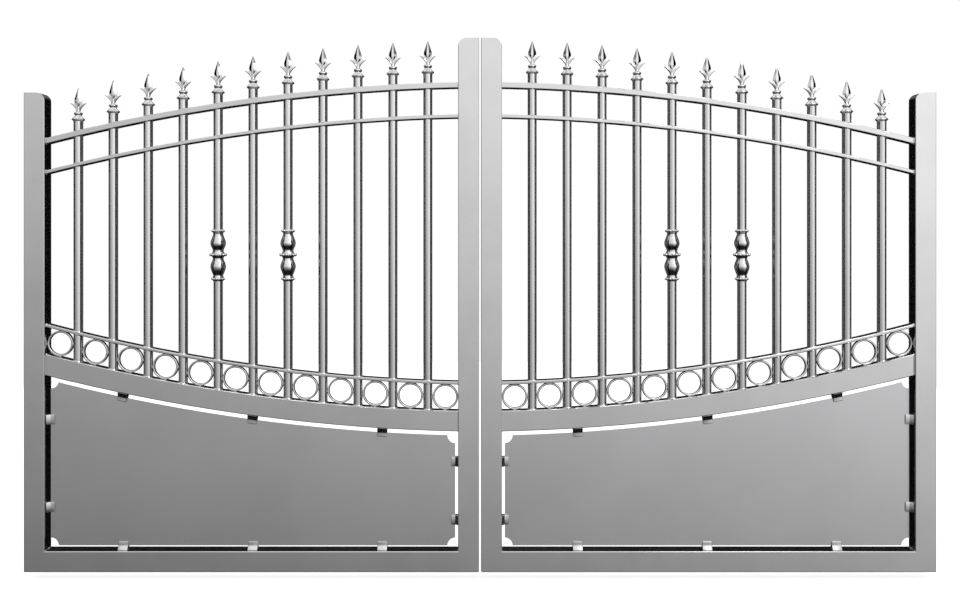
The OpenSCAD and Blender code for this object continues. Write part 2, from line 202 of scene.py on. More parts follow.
def slopes_at(points: np.ndarray, x: float, y: float, radius: float) -> tuple[Slope, Slope]:
    """Measures the lower and upper rim of a round hole or bar end.

    Args:
        points: vertices of the rail or bar.
        x: place of the bar's axis.
        y: place of the bar's axis.
        radius: radius of the hole or bar.

    Returns:
        The slope of the lower rim and of the upper rim.
    """
    reach = np.hypot(points[:, 0] - x, points[:, 1] - y)
    rim = points[np.abs(reach - radius) < 0.5 * MM]
    left = rim[rim[:, 0] < x - radius + MM]
    right = rim[rim[:, 0] > x + radius - MM]
    found = []
    for pick in (np.min, np.max):
        first, last = pick(left[:, 2]), pick(right[:, 2])
        found.append(Slope((first + last) / 2, (last - first) / (2 * radius)))
    return found[0], found[1]


# ---- shaping -------------------------------------------------------------------------------


class Shape:
    """A growing mesh, with the few shaping steps that the gate's pieces need."""

    def __init__(self) -> None:
        """Starts empty."""
        self.bm = bmesh.new()

    def add(self, part: bmesh.types.BMesh, matrix: Matrix) -> None:
        """Adds a closed part, with its faces turned outwards.

        Args:
            part: the part, which is used up.
            matrix: its place.
        """
        bmesh.ops.transform(part, matrix=matrix, verts=part.verts)
        bmesh.ops.recalc_face_normals(part, faces=part.faces)
        mesh = bpy.data.meshes.new("part")
        part.to_mesh(mesh)
        part.free()
        self.bm.from_mesh(mesh)
        bpy.data.meshes.remove(mesh)

    def lathe(self, profile: Profile, steps: int, matrix: Matrix, closed: bool = False) -> None:
        """Turns a profile about Z.

        Args:
            profile: radius and height of each point.
            steps: number of steps around.
            matrix: place of the finished shape.
            closed: whether the profile is a loop, which gives a ring.
        """
        self.add(turned(profile, steps, closed), matrix)

    def stack(self, outline: Profile, levels: Levels, matrix: Matrix) -> None:
        """Sweeps an outline upwards through levels of changing width and depth.

        Args:
            outline: points of the outline, for a width and depth of 1.
            levels: height, width and depth of each level.
            matrix: place of the finished shape.
        """
        bm = bmesh.new()
        z, w, d = levels[0]
        ring = [bm.verts.new((x * w, y * d, z)) for x, y in outline]
        edges = [bm.edges.new(pair) for pair in zip(ring, ring[1:] + ring[:1])]
        bm.faces.new(ring)
        for next_z, next_w, next_d in levels[1:]:
            made = bmesh.ops.extrude_edge_only(bm, edges=edges)["geom"]
            ring = [g for g in made if isinstance(g, bmesh.types.BMVert)]
            new_edges = [g for g in made if isinstance(g, bmesh.types.BMEdge)]
            edges = [e for e in new_edges if set(ring).issuperset(e.verts)]
            bmesh.ops.scale(bm, vec=(next_w / w, next_d / d, 1), verts=ring)
            bmesh.ops.translate(bm, vec=(0, 0, next_z - z), verts=ring)
            z, w, d = next_z, next_w, next_d
        bmesh.ops.contextual_create(bm, geom=edges)
        self.add(bm, matrix)

    def limb(self, sections: Sequence[Sequence[float]], matrix: Matrix, steps: int = 12) -> None:
        """Joins oval sections into one bent limb, which lies in the XZ plane.

        Args:
            sections: x, z, lean from Z towards X in degrees, and the oval's half width along the
                plane and half depth along Y.
            matrix: place of the finished limb.
            steps: points around each oval.
        """
        bm = bmesh.new()
        for x, z, lean, width, depth in sections:
            tilt = Matrix.Rotation(math.radians(lean), 4, "Y")
            frame = Matrix.Translation((x, 0, z)) @ tilt @ Matrix.Diagonal((width, depth, 1, 1))
            bmesh.ops.create_circle(bm, cap_ends=False, radius=1.0, segments=steps, matrix=frame)
        bmesh.ops.bridge_loops(bm, edges=bm.edges)
        bmesh.ops.holes_fill(bm, edges=bm.edges, sides=steps)
        self.add(bm, matrix)

    def bead(self, start: Vector, end: Vector, radius: float, pitch: float = 5 * MM) -> None:
        """Lays a rippled weld bead along a straight joint.

        Args:
            start: one end of the joint.
            end: the other end.
            radius: radius of the bead.
            pitch: distance between two ripples.
        """
        along = end - start
        ripples = max(2, round(along.length / pitch))
        profile = [(0.0, 0.0)]
        for i in range(2 * ripples - 1):
            swell = 1.0 if i % 2 == 0 else 0.8
            profile.append((radius * swell, along.length * (i + 1) / (2 * ripples)))
        profile.append((0.0, along.length))
        turn = along.to_track_quat("Z", "X").to_matrix().to_4x4()
        self.lathe(profile, 8, Matrix.Translation(start) @ turn)

    def collar_bead(self, radius: float, thick: float, matrix: Matrix, ripples: int = 16) -> None:
        """Lays a rippled weld bead around a bar.

        Args:
            radius: radius of the bar.
            thick: radius of the bead.
            matrix: place of the bead's middle, with Z along the bar.
            ripples: number of ripples around.
        """
        loop = [(radius + thick * math.cos(a), thick * math.sin(a)) for a in turns(6)]
        bm = turned(loop, 3 * ripples, True)
        for v in bm.verts:
            v.co.z *= 1 + 0.18 * math.cos(ripples * math.atan2(v.co.y, v.co.x))
        self.add(bm, matrix)

    def stamp(self, pattern: bpy.types.Mesh, matrix: Matrix) -> None:
        """Adds a copy of a finished mesh.

        Args:
            pattern: the mesh to copy.
            matrix: place of the copy.
        """
        copy = bmesh.new()
        copy.from_mesh(pattern)
        self.add(copy, matrix)

    def to_mesh(self, name: str, sharp_above: float | None) -> bpy.types.Mesh:
        """Turns the shape into a mesh and frees it.

        Args:
            name: name of the mesh.
            sharp_above: degrees between faces above which an edge stays sharp, or None for flat.

        Returns:
            The mesh.
        """
        for face in self.bm.faces:
            face.smooth = sharp_above is not None
        mesh = bpy.data.meshes.new(name)
        self.bm.to_mesh(mesh)
        self.bm.free()
        if sharp_above is not None:
            mesh.set_sharp_from_angle(angle=math.radians(sharp_above))
        return mesh


def turned(profile: Profile, steps: int, closed: bool) -> bmesh.types.BMesh:
    """Turns a profile about Z.

    Args:
        profile: radius and height of each point.
        steps: number of steps around.
        closed: whether the profile is a loop.

    Returns:
        The turned shape, with its poles closed.
    """
    bm = bmesh.new()
    verts = [bm.verts.new((r, 0.0, z)) for r, z in profile]
    pairs = list(zip(verts, verts[1:]))
    if closed:
        pairs.append((verts[-1], verts[0]))
    edges = [bm.edges.new(pair) for pair in pairs]
    bmesh.ops.spin(
        bm, geom=verts + edges, cent=(0, 0, 0), axis=(0, 0, 1),
        angle=math.tau, steps=steps, use_merge=True,
    )
    bmesh.ops.remove_doubles(bm, verts=bm.verts, dist=POLE_MERGE)
    return bm


def plate(outline: Profile, depth: float, bevel: float) -> bmesh.types.BMesh:
    """Makes a flat plate with rounded edges, seen along Y.

    Args:
        outline: x and z of each point.
        depth: thickness along Y, half on each side.
        bevel: width of the rounding.

    Returns:
        The plate.
    """
    bm = bmesh.new()
    face = bm.faces.new([bm.verts.new((x, -depth / 2, z)) for x, z in outline])
    made = bmesh.ops.extrude_face_region(bm, geom=[face])["geom"]
    back = [g for g in made if isinstance(g, bmesh.types.BMVert)]
    bmesh.ops.translate(bm, vec=(0, depth, 0), verts=back)
    bmesh.ops.recalc_face_normals(bm, faces=bm.faces)
    soften(bm, bm.edges, bevel, 2)
    return bm


def turns(count: int) -> list[float]:
    """Angles of evenly spaced points around a circle."""
    return [math.tau * i / count for i in range(count)]


def arc(
    centre: tuple[float, float], radius: float, start: float, stop: float, steps: int
) -> list[tuple[float, float]]:
    """Points along an arc.

    Args:
        centre: centre of the arc.
        radius: its radius.
        start: first angle in degrees.
        stop: last angle in degrees.
        steps: number of steps.

    Returns:
        The points, both ends included.
    """
    angles = (math.radians(start + (stop - start) * i / steps) for i in range(steps + 1))
    return [(centre[0] + radius * math.cos(a), centre[1] + radius * math.sin(a)) for a in angles]


def soften(
    bm: bmesh.types.BMesh, edges: Iterable[bmesh.types.BMEdge], width: float, segments: int
) -> None:
    """Rounds those of the edges that are sharp.

    Args:
        bm: the shape.
        edges: the edges to look at.
        width: width of the rounding.
        segments: steps across it.
    """
    sharp = [e for e in edges if len(e.link_faces) == 2 and e.calc_face_angle() > SHARP_EDGE]
    bmesh.ops.bevel(
        bm, geom=sharp, offset=width, offset_type="OFFSET", segments=segments, profile=0.5,
        affect="EDGES", clamp_overlap=True, material=-1,
    )


def softened_copy(
    shape: Shape, node: str, width: float, segments: int = 2, gap: float = 1.0, base: float = -1.0
) -> None:
    """Adds a CAD node's shape with its sharp edges rounded.

    Args:
        shape: the shape to add to.
        node: name of the CAD node.
        width: width of the rounding.
        segments: steps across it.
        gap: distance along X between solids that are rounded on their own.
        base: height above a solid's foot below which its edges stay as they are.
    """
    solids = solids_of(node, gap)
    bm = bmesh.new()
    bm.from_mesh(bpy.data.objects[node].data)
    bmesh.ops.remove_doubles(bm, verts=bm.verts, dist=CAD_MERGE)
    bmesh.ops.dissolve_limit(bm, angle_limit=FLAT_ANGLE, verts=bm.verts, edges=bm.edges)
    feet = [(solid.low.x, solid.high.x, solid.low.z + base) for solid in solids]
    edges = [
        e for e in bm.edges
        if any(x0 - MM < v.co.x < x1 + MM and v.co.z > z for v in e.verts for x0, x1, z in feet)
    ]
    soften(bm, edges, width, segments)
    shape.add(bm, Matrix.Identity(4))


@dataclass
class Dresser:
    """Turns shapes into finished pieces: finish, body, slot and the CAD nodes they stand for."""

    finishes: dict[str, bpy.types.Material]

    def dress(
        self, name: str, shape: Shape, slot: str, body: str,
        nodes: Sequence[str] = (), sharp_above: float = 40.0,
    ) -> None:
        """Finishes one piece.

        Args:
            name: name of the piece.
            shape: its shape, which is used up.
            slot: material slot that it takes its finish from.
            body: body that it rides on.
            nodes: CAD nodes that it stands for.
            sharp_above: degrees between faces above which an edge stays sharp.
        """
        piece = bpy.data.objects.new(name, shape.to_mesh(name, sharp_above))
        bpy.context.scene.collection.objects.link(piece)
        piece.data.materials.append(self.finishes[slot])
        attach(piece, body)
        if nodes:
            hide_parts(*nodes)
        piece.data.calc_loop_triangles()
        LOG.info("%s: %d triangles on %s", name, len(piece.data.loop_triangles), body)


# ---- shader maths --------------------------------------------------------------------------


class Graph:
    """A node tree that makes nodes by type, with their settings and inputs."""

    def __init__(self, tree: bpy.types.NodeTree) -> None:
        """Starts from an empty tree."""
        self.tree = tree
        tree.nodes.clear()

    def add(
        self, kind: str, settings: dict[str, Any] | None = None, **inputs: Any
    ) -> bpy.types.Node:
        """Makes one node.

        Args:
            kind: the node's type, without its common prefix.
            settings: properties that are set before the inputs.
            **inputs: value, socket or Term for each input, with _ for a space in its name.

        Returns:
            The new node.
        """
        node = self.tree.nodes.new(f"ShaderNode{kind}")
        for name, value in (settings or {}).items():
            setattr(node, name, value)
        for name, value in inputs.items():
            self._feed(node, name, value)
        return node

    def _feed(self, node: bpy.types.Node, name: str, value: Any) -> None:
        """Sets or links one input, by its name or by its number as in_0."""
        if name.startswith("in_"):
            target = node.inputs[int(name[3:])]
        else:
            target = node.inputs[name.replace("_", " ")]
        if isinstance(value, Term):
            value = value.socket
        if isinstance(value, bpy.types.NodeSocket):
            self.tree.links.new(value, target)
        else:
            target.default_value = value

    def term(self, socket: bpy.types.NodeSocket) -> Term:
        """Wraps an output so that it can be used in an expression."""
        return Term(self, socket)

    def vector(self, operation: str, *values: Any) -> bpy.types.NodeSocket:
        """Adds one Vector Math node and gives its vector output."""
        inputs = {f"in_{i}": value for i, value in enumerate(values)}
        return self.add("VectorMath", {"operation": operation}, **inputs).outputs[0]

    def noise(self, vector: Any, scale: float, detail: float = 2.0, roughness: float = 0.5) -> Term:
        """Makes soft noise.

        Args:
            vector: coordinates, in metres.
            scale: patches per metre.
            detail: octaves.
            roughness: share of the finer octaves.

        Returns:
            A value around one half.
        """
        node = self.add("TexNoise", Vector=vector, Scale=scale, Detail=detail, Roughness=roughness)
        return self.term(node.outputs["Fac"])

    def mix_colour(self, factor: Any, first: Any, second: Any) -> bpy.types.NodeSocket:
        """Mixes two colours.

        Args:
            factor: share of the second colour.
            first: colour at a factor of 0.
            second: colour at a factor of 1.

        Returns:
            The mixed colour.
        """
        node = self.add("Mix", {"data_type": "RGBA"}, in_0=factor, in_6=first, in_7=second)
        return node.outputs[2]


class Term:
    """A value in a node tree: arithmetic on it adds the Math nodes."""

    def __init__(self, graph: Graph, socket: bpy.types.NodeSocket) -> None:
        """Wraps a socket of a graph."""
        self.graph = graph
        self.socket = socket

    def _math(self, operation: str, *values: Any) -> Term:
        """Adds one Math node on values."""
        inputs = {f"in_{i}": value for i, value in enumerate(values)}
        node = self.graph.add("Math", {"operation": operation}, **inputs)
        return Term(self.graph, node.outputs[0])

    def __add__(self, other: Any) -> Term:
        """Sum."""
        return self._math("ADD", self, other)

    def __radd__(self, other: Any) -> Term:
        """Sum with a number first."""
        return self._math("ADD", other, self)

    def __sub__(self, other: Any) -> Term:
        """Difference."""
        return self._math("SUBTRACT", self, other)

    def __rsub__(self, other: Any) -> Term:
        """Difference with a number first."""
        return self._math("SUBTRACT", other, self)

    def __mul__(self, other: Any) -> Term:
        """Product."""
        return self._math("MULTIPLY", self, other)

    def __rmul__(self, other: Any) -> Term:
        """Product with a number first."""
        return self._math("MULTIPLY", other, self)

    def at_least(self, other: Any) -> Term:
        """The greater of two values."""
        return self._math("MAXIMUM", self, other)

    def at_most(self, other: Any) -> Term:
        """The smaller of two values."""
        return self._math("MINIMUM", self, other)

    def smooth(self, low: float, high: float) -> Term:
        """Rises smoothly from 0 at low to 1 at high.

        Args:
            low: value where the rise starts.
            high: value where it ends.

        Returns:
            The smooth step.
        """
        settings = {"interpolation_type": "SMOOTHSTEP"}
        node = self.graph.add("MapRange", settings, Value=self, From_Min=low, From_Max=high)
        return Term(self.graph, node.outputs[0])


# ---- finishes ------------------------------------------------------------------------------


@dataclass(frozen=True)
class SatinMetal:
    """Satin silver-grey metal: soft clouding, a fine grain, and a faint ripple in the coat; where
    asked, lighter rubbed edges and painted shade darkening the hollows.
    """

    slot: str
    colour: tuple[float, float, float, float] = (0.60, 0.60, 0.605, 1.0)
    roughness: float = 0.25
    roughness_spread: float = 0.06
    grain_scale: float = 900.0
    grain_height: float = 0.04
    grain_stretch: tuple[float, float, float] = (1.0, 1.0, 1.0)
    ripple_scale: float = 120.0
    ripple_height: float = 0.03
    cloud_scale: float = 5.0
    cloud_depth: float = 0.05
    # Strength of the lighter rubbed edges and of the painted shade laid into hollows and creases.
    edge_wear: float = 0.0
    worn_colour: tuple[float, float, float, float] = (0.78, 0.78, 0.78, 1.0)
    # Near-black grey of the painted shade in hollows and creases, standing in for shade.
    hollow_colour: tuple[float, float, float, float] = (0.12, 0.12, 0.125, 1.0)

    def build(self) -> bpy.types.Material:
        """Makes the material.

        Returns:
            The material, with its colour, roughness and fine bump driven by noise.
        """
        material = bpy.data.materials.new(self.slot)
        material.use_nodes = True
        graph = Graph(material.node_tree)
        place = graph.add("TexCoord").outputs["Object"]
        cloud = graph.noise(place, self.cloud_scale, 4.0, 0.55)
        stretched = graph.add("Mapping", Vector=place, Scale=self.grain_stretch).outputs[0]
        grain = graph.noise(stretched, self.grain_scale, 2.0, 0.6)
        ripple = graph.noise(place, self.ripple_scale, 1.0, 0.4)
        darker = tuple(c * (1 - self.cloud_depth) for c in self.colour[:3]) + (1.0,)
        colour = graph.mix_colour(cloud.smooth(0.35, 0.65), darker, self.colour)
        rough = self.roughness + (cloud - 0.5) * self.roughness_spread + (grain - 0.5) * 0.04
        if self.edge_wear:
            edge = graph.term(graph.add("NewGeometry").outputs["Pointiness"])
            worn = (edge.smooth(0.51, 0.60) * self.edge_wear * 0.4) * grain.smooth(0.3, 0.6)
            # Painted shade: dents and creases, where pointiness is low, are darkened towards a
            # near-black grey in place of the shade that falls in them.
            painted_hollow_shade = (1 - edge.smooth(0.40, 0.49)) * self.edge_wear
            colour = graph.mix_colour(worn, colour, self.worn_colour)
            colour = graph.mix_colour(painted_hollow_shade, colour, self.hollow_colour)
            rough = rough - worn * 0.08 + painted_hollow_shade * 0.15
        height = grain * self.grain_height + ripple * self.ripple_height
        bump = graph.add("Bump", Strength=1.0, Distance=0.0004, Height=height)
        shader = graph.add(
            "BsdfPrincipled",
            Base_Color=colour,
            Roughness=rough,
            Metallic=1.0,
            Normal=bump.outputs[0],
        )
        graph.add("OutputMaterial", Surface=shader.outputs[0])
        return material


FINISHES = (
    SatinMetal("tube_metal", roughness=0.17),
    SatinMetal(
        "sheet_metal", colour=(0.59, 0.59, 0.60, 1.0), grain_stretch=(0.05, 1.0, 1.0),
        cloud_scale=2.5,
    ),
    SatinMetal(
        "cast_metal", colour=(0.64, 0.64, 0.645, 1.0), roughness=0.11, ripple_scale=260.0,
        ripple_height=0.10, edge_wear=0.8,
    ),
    SatinMetal("clip_metal", roughness=0.24, cloud_scale=20.0),
    SatinMetal(
        "hinge_metal", colour=(0.55, 0.55, 0.56, 1.0), roughness=0.30, grain_height=0.08,
        cloud_scale=14.0, cloud_depth=0.12, edge_wear=0.5,
    ),
)


# ---- infill --------------------------------------------------------------------------------


@dataclass
class BarSet:
    """The round bars of a leaf, with their welds on the rails."""

    side: Side
    chamfer: float = 0.8 * MM
    weld: float = 2.2 * MM
    foot_weld: float = 3.2 * MM
    hole_play: float = 0.3 * MM
    steps: int = 48
    rails: tuple[str, ...] = ("ring_rail", "second_rail", "top_rail")

    def build(self, dresser: Dresser) -> None:
        """Makes the bars and their welds."""
        tubes, welds = Shape(), Shape()
        node = self.side.node("bars")
        rails = [points_of(self.side.node(rail)) for rail in self.rails]
        for bar in solids_of(node):
            x, y = bar.mid.x, bar.mid.y
            radius = bar.size.x / 2
            height = bar.size.z
            profile = (
                (0.0, 0.0), (radius, 0.0), (radius, height - self.chamfer),
                (radius - self.chamfer, height), (0.0, height),
            )
            tubes.lathe(profile, self.steps, Matrix.Translation((x, y, bar.low.z)))
            foot, _ = slopes_at(bar.points, x, y, radius)
            welds.collar_bead(radius, self.foot_weld, foot.matrix(x, y))
            for points in rails:
                for slope in slopes_at(points, x, y, radius + self.hole_play):
                    welds.collar_bead(radius, self.weld, slope.matrix(x, y))
        body = self.side.body
        dresser.dress(self.side.node("bar_tubes"), tubes, "tube_metal", body, [node])
        dresser.dress(self.side.node("bar_welds"), welds, "tube_metal", body)


@dataclass
class RingRow:
    """The row of rings between the middle rail and the rail above it."""

    side: Side
    edge: float = 3.2 * MM
    edge_steps: int = 3
    thick: float = 8.0 * MM
    steps: int = 72
    tack: float = 3.5 * MM
    tack_pitch: float = 3 * MM

    def build(self, dresser: Dresser) -> None:
        """Makes the rings with their tack welds."""
        rings, tacks = Shape(), Shape()
        node = self.side.node("rings")
        for ring in solids_of(node):
            radius, depth = ring.size.x / 2, ring.size.y
            lying = Matrix.Translation(ring.mid) @ Matrix.Rotation(math.pi / 2, 4, "X")
            inner, outer = radius - self.thick + self.edge, radius - self.edge
            half = depth / 2 - self.edge
            corners = ((outer, half), (inner, half), (inner, -half), (outer, -half))
            profile = [
                p for i, corner in enumerate(corners)
                for p in arc(corner, self.edge, 90 * i, 90 * i + 90, self.edge_steps)
            ]
            rings.lathe(profile, self.steps, lying, closed=True)
            for angle in turns(4):
                spot = ring.mid + radius * Vector((math.cos(angle), 0, math.sin(angle)))
                across = Vector((-math.sin(angle), 0, math.cos(angle))) * self.tack * 1.6
                for face in (-1, 1):
                    off = Vector((0, face * (depth / 2 - self.edge), 0))
                    start, end = spot + off - across, spot + off + across
                    tacks.bead(start, end, self.tack * 0.55, self.tack_pitch)
        body = self.side.body
        dresser.dress(self.side.node("ring_bands"), rings, "tube_metal", body, [node])
        dresser.dress(self.side.node("ring_tacks"), tacks, "tube_metal", body)


@dataclass
class Spear:
    """A spear finial: turned foot, flared barbs, and a faceted blade."""

    height: float = 128 * MM
    rim: float = 24.6 * MM
    barb_reach: float = 31 * MM
    sharp_above: float = 24.0
    web_depth: float = 6 * MM
    web_bevel: float = 0.7 * MM
    steps: int = 40
    diamond: Profile = ((1, 0), (0, 1), (-1, 0), (0, -1))
    section: Profile = (
        (1, -0.08), (1, 0.08), (0.30, 1), (-0.30, 1),
        (-1, 0.08), (-1, -0.08), (-0.30, -1), (0.30, -1),
    )

    def foot_profile(self) -> list[tuple[float, float]]:
        """Outline of the foot: hollow underside, rim, skirt, cove, bead and neck."""
        rim = self.rim
        return [
            (0.0, 0.0), (17.9 * MM, 0.0), (18.6 * MM, 1.6 * MM), (rim - 1.6 * MM, 3.0 * MM),
            (rim - 0.3 * MM, 4.4 * MM), (rim, 6.0 * MM), (rim - 0.6 * MM, 7.6 * MM),
            (rim - 2.2 * MM, 8.8 * MM), (19.6 * MM, 11.2 * MM), (16.8 * MM, 14.0 * MM),
            (14.2 * MM, 17.2 * MM), (12.2 * MM, 20.4 * MM), (11.4 * MM, 22.6 * MM),
            *arc((10.4 * MM, 28.6 * MM), 5.9 * MM, -72, 72, 9),
            (9.8 * MM, 34.8 * MM), (7.8 * MM, 36.2 * MM), (6.6 * MM, 38.6 * MM),
            (6.2 * MM, 46.0 * MM), (6.0 * MM, 56.0 * MM), (0.0, 56.0 * MM),
        ]

    def barb_sections(self) -> list[tuple[float, ...]]:
        """Oval sections of the right barb, from the neck out to the tip."""
        sections = (
            (3.5, 38.0, 5, 3.2, 4.6), (4.8, 43.0, 18, 3.4, 5.2), (7.2, 48.5, 30, 3.6, 5.6),
            (10.6, 53.8, 38, 3.8, 5.6), (14.8, 58.8, 44, 3.7, 5.2), (19.6, 63.0, 52, 3.2, 4.6),
            (24.6, 66.4, 58, 2.5, 3.6), (28.6, 68.6, 62, 1.7, 2.5), (31.0, 69.8, 64, 0.7, 1.2),
        )
        return [(x * MM, z * MM, lean, w * MM, d * MM) for x, z, lean, w, d in sections]

    def web_outline(self) -> list[tuple[float, float]]:
        """Outline of the web behind the right barb, with its dipping upper edge."""
        outline = (
            (0, 37.5), (6.0, 37.5), (6.6, 41.0), (8.0, 45.0), (10.4, 49.6), (13.6, 54.0), (17.6, 58.4),
            (22.0, 62.2), (26.6, 65.4), (30.4, 67.6), (31.0, 69.2), (29.6, 70.2), (26.0, 69.2),
            (22.4, 67.4), (18.8, 67.0), (15.4, 68.6), (12.0, 72.0), (0, 74.0),
        )
        return [(x * MM, z * MM) for x, z in outline]

    def rib_levels(self) -> list[tuple[float, float, float]]:
        """Height, half width and half depth of the rib up the middle, in metres."""
        levels = ((44, 1.0, 5.0), (50, 1.6, 7.2), (58, 2.4, 8.2), (66, 3.2, 8.2), (74, 3.6, 6.5))
        return [(z * MM, w * MM, d * MM) for z, w, d in levels]

    def blade_levels(self) -> list[tuple[float, float, float]]:
        """Height, half width and half depth of the blade, in metres."""
        levels = (
            (52, 4.0, 4.6), (58, 6.4, 5.6), (64, 9.6, 6.4), (69, 12.8, 6.9), (74, 15.0, 7.2),
            (79, 15.7, 7.2), (84, 15.0, 7.0), (93, 12.3, 6.1), (103, 9.0, 4.9),
            (113, 5.8, 3.5), (121, 3.1, 2.2), (126.5, 1.2, 1.0), (128, 0.5, 0.5),
        )
        return [(z * MM, w * MM, d * MM) for z, w, d in levels]

    def pattern(self) -> bpy.types.Mesh:
        """Makes one finial that stands on the origin."""
        shape = Shape()
        still = Matrix.Identity(4)
        shape.lathe(self.foot_profile(), self.steps, still)
        for side in (1, -1):
            mirror = Matrix.Diagonal((side, 1, 1, 1))
            web = plate(self.web_outline(), self.web_depth, self.web_bevel)
            for v in web.verts:
                v.co.y *= 1 - 0.5 * min(1.0, abs(v.co.x) / self.barb_reach) ** 0.8
            shape.add(web, mirror)
            shape.limb(self.barb_sections(), mirror)
        shape.stack(self.diamond, self.rib_levels(), still)
        shape.stack(self.section, self.blade_levels(), still)
        return shape.to_mesh("spear", self.sharp_above)


@dataclass
class FinialSet:
    """The finials on the bars of a leaf."""

    side: Side
    weld_ring: float = 17.6 * MM
    weld: float = 1.5 * MM

    def build(self, dresser: Dresser) -> None:
        """Stands one finial on each bar."""
        spear = Spear()
        pattern = spear.pattern()
        finials, welds = Shape(), Shape()
        node, body = self.side.node("finials"), self.side.body
        for solid in solids_of(node):
            foot = Vector((solid.mid.x, solid.mid.y, solid.low.z))
            stretch = Matrix.Diagonal((1, 1, solid.size.z / spear.height, 1))
            finials.stamp(pattern, Matrix.Translation(foot) @ stretch)
            welds.collar_bead(self.weld_ring, self.weld, Matrix.Translation(foot))
        dresser.dress(self.side.node("spear_finials"), finials, "cast_metal", body, [node], 28.0)
        dresser.dress(self.side.node("finial_welds"), welds, "cast_metal", body)


@dataclass
class Knuckle:
    """The cast sleeve on a bar: beaded collars, two bulbs, and flared cones."""

    height: float = 200 * MM
    steps: int = 56
    beads: int = 12
    sharp_above: float = 50.0

    def profile(self, bar: float) -> list[tuple[float, float]]:
        """Outline from the top down, as radius and depth below the top, in metres."""
        outline = (
            (bar / MM, 0), (19.0, 0), (20.6, 1.5), (21.0, 4.0), (21.0, 7.0), (20.8, 10.0), (19.9, 14.0),
            (18.8, 17.0), (18.8, 19.5), (20.4, 25.0), (23.4, 33.0), (26.8, 42.0), (28.9, 50.0),
            (29.1, 55.0), (27.8, 62.0), (25.0, 69.0), (22.0, 75.0), (20.4, 80.0), (20.2, 84.0),
            (21.2, 87.0), (22.8, 90.5), (24.4, 93.5), (25.0, 96.5), (25.0, 99.0), (24.8, 102.0),
            (23.4, 105.0), (21.2, 108.5), (20.0, 112.0), (20.8, 117.0), (23.6, 124.0), (27.0, 132.0),
            (29.1, 141.0), (28.6, 149.0), (26.2, 158.0), (22.6, 168.0), (19.6, 175.0), (18.6, 179.0),
            (19.6, 182.0), (21.0, 185.5), (21.2, 188.5), (21.2, 191.5), (20.9, 195.0), (19.8, 198.5),
            (18.5, 200.0), (bar / MM, 200.0),
        )
        return [(r * MM, z * MM) for r, z in outline]

    def rims(self) -> tuple[tuple[float, float, float], ...]:
        """Depth below the top, radius and bead size of each beaded collar."""
        rims = ((6.0, 22.4, 4.8), (98.0, 28.2, 5.9), (191.0, 22.6, 4.8))
        return tuple((depth * MM, radius * MM, size * MM) for depth, radius, size in rims)

    def pattern(self, bar: float) -> bpy.types.Mesh:
        """Makes one knuckle with its top at the origin, hanging down.

        Args:
            bar: radius of the bar that it sits on.

        Returns:
            The mesh.
        """
        shape = Shape()
        outline = [(r, -z) for r, z in self.profile(bar)]
        shape.lathe(outline, self.steps, Matrix.Identity(4), closed=True)
        squash = Matrix.Diagonal((1.0, 1.05, 1.0, 1))
        for depth, radius, size in self.rims():
            for angle in turns(self.beads):
                spot = Matrix.Rotation(angle, 4, "Z") @ Matrix.Translation((radius, 0, -depth))
                bmesh.ops.create_uvsphere(
                    shape.bm, u_segments=12, v_segments=8, radius=size, matrix=spot @ squash,
                )
        return shape.to_mesh("knuckle", self.sharp_above)


@dataclass
class KnuckleSet:
    """The cast knuckles of a leaf."""

    side: Side

    def build(self, dresser: Dresser) -> None:
        """Puts each knuckle around its bar."""
        bar = solids_of(self.side.node("bars"))[0].size.x / 2
        knuckle = Knuckle()
        pattern = knuckle.pattern(bar)
        shape = Shape()
        node, body = self.side.node("knuckles"), self.side.body
        for solid in solids_of(node):
            top = Vector((solid.mid.x, solid.mid.y, solid.high.z))
            stretch = Matrix.Diagonal((1, 1, solid.size.z / knuckle.height, 1))
            shape.stamp(pattern, Matrix.Translation(top) @ stretch)
        dresser.dress(self.side.node("cast_knuckles"), shape, "cast_metal", body, [node], 50.0)


# ---- frame and panel -----------------------------------------------------------------------


@dataclass
class ClipSet:
    """The wedge clips that hold the panel."""

    side: Side
    edge: float = 1.8 * MM
    steps: int = 3

    def build(self, dresser: Dresser) -> None:
        """Makes each row of clips."""
        for row in ("top_clips", "bottom_clips", "side_clips"):
            shape = Shape()
            node = self.side.node(row)
            softened_copy(shape, node, self.edge, self.steps)
            name = self.side.node(row.replace("clips", "wedges"))
            dresser.dress(name, shape, "clip_metal", self.side.body, [node], 40.0)


@dataclass
class CapSet:
    """The rounded caps on the two stiles of a leaf."""

    side: Side
    edge: float = 0.8 * MM
    apart: float = 0.5
    joint: float = 1.0 * MM

    def build(self, dresser: Dresser) -> None:
        """Makes the caps, with their edges rounded above the joint with the stile."""
        shape = Shape()
        node = self.side.node("stile_caps")
        softened_copy(shape, node, self.edge, gap=self.apart, base=self.joint)
        dresser.dress(self.side.node("cap_pair"), shape, "tube_metal", self.side.body, [node], 18.0)


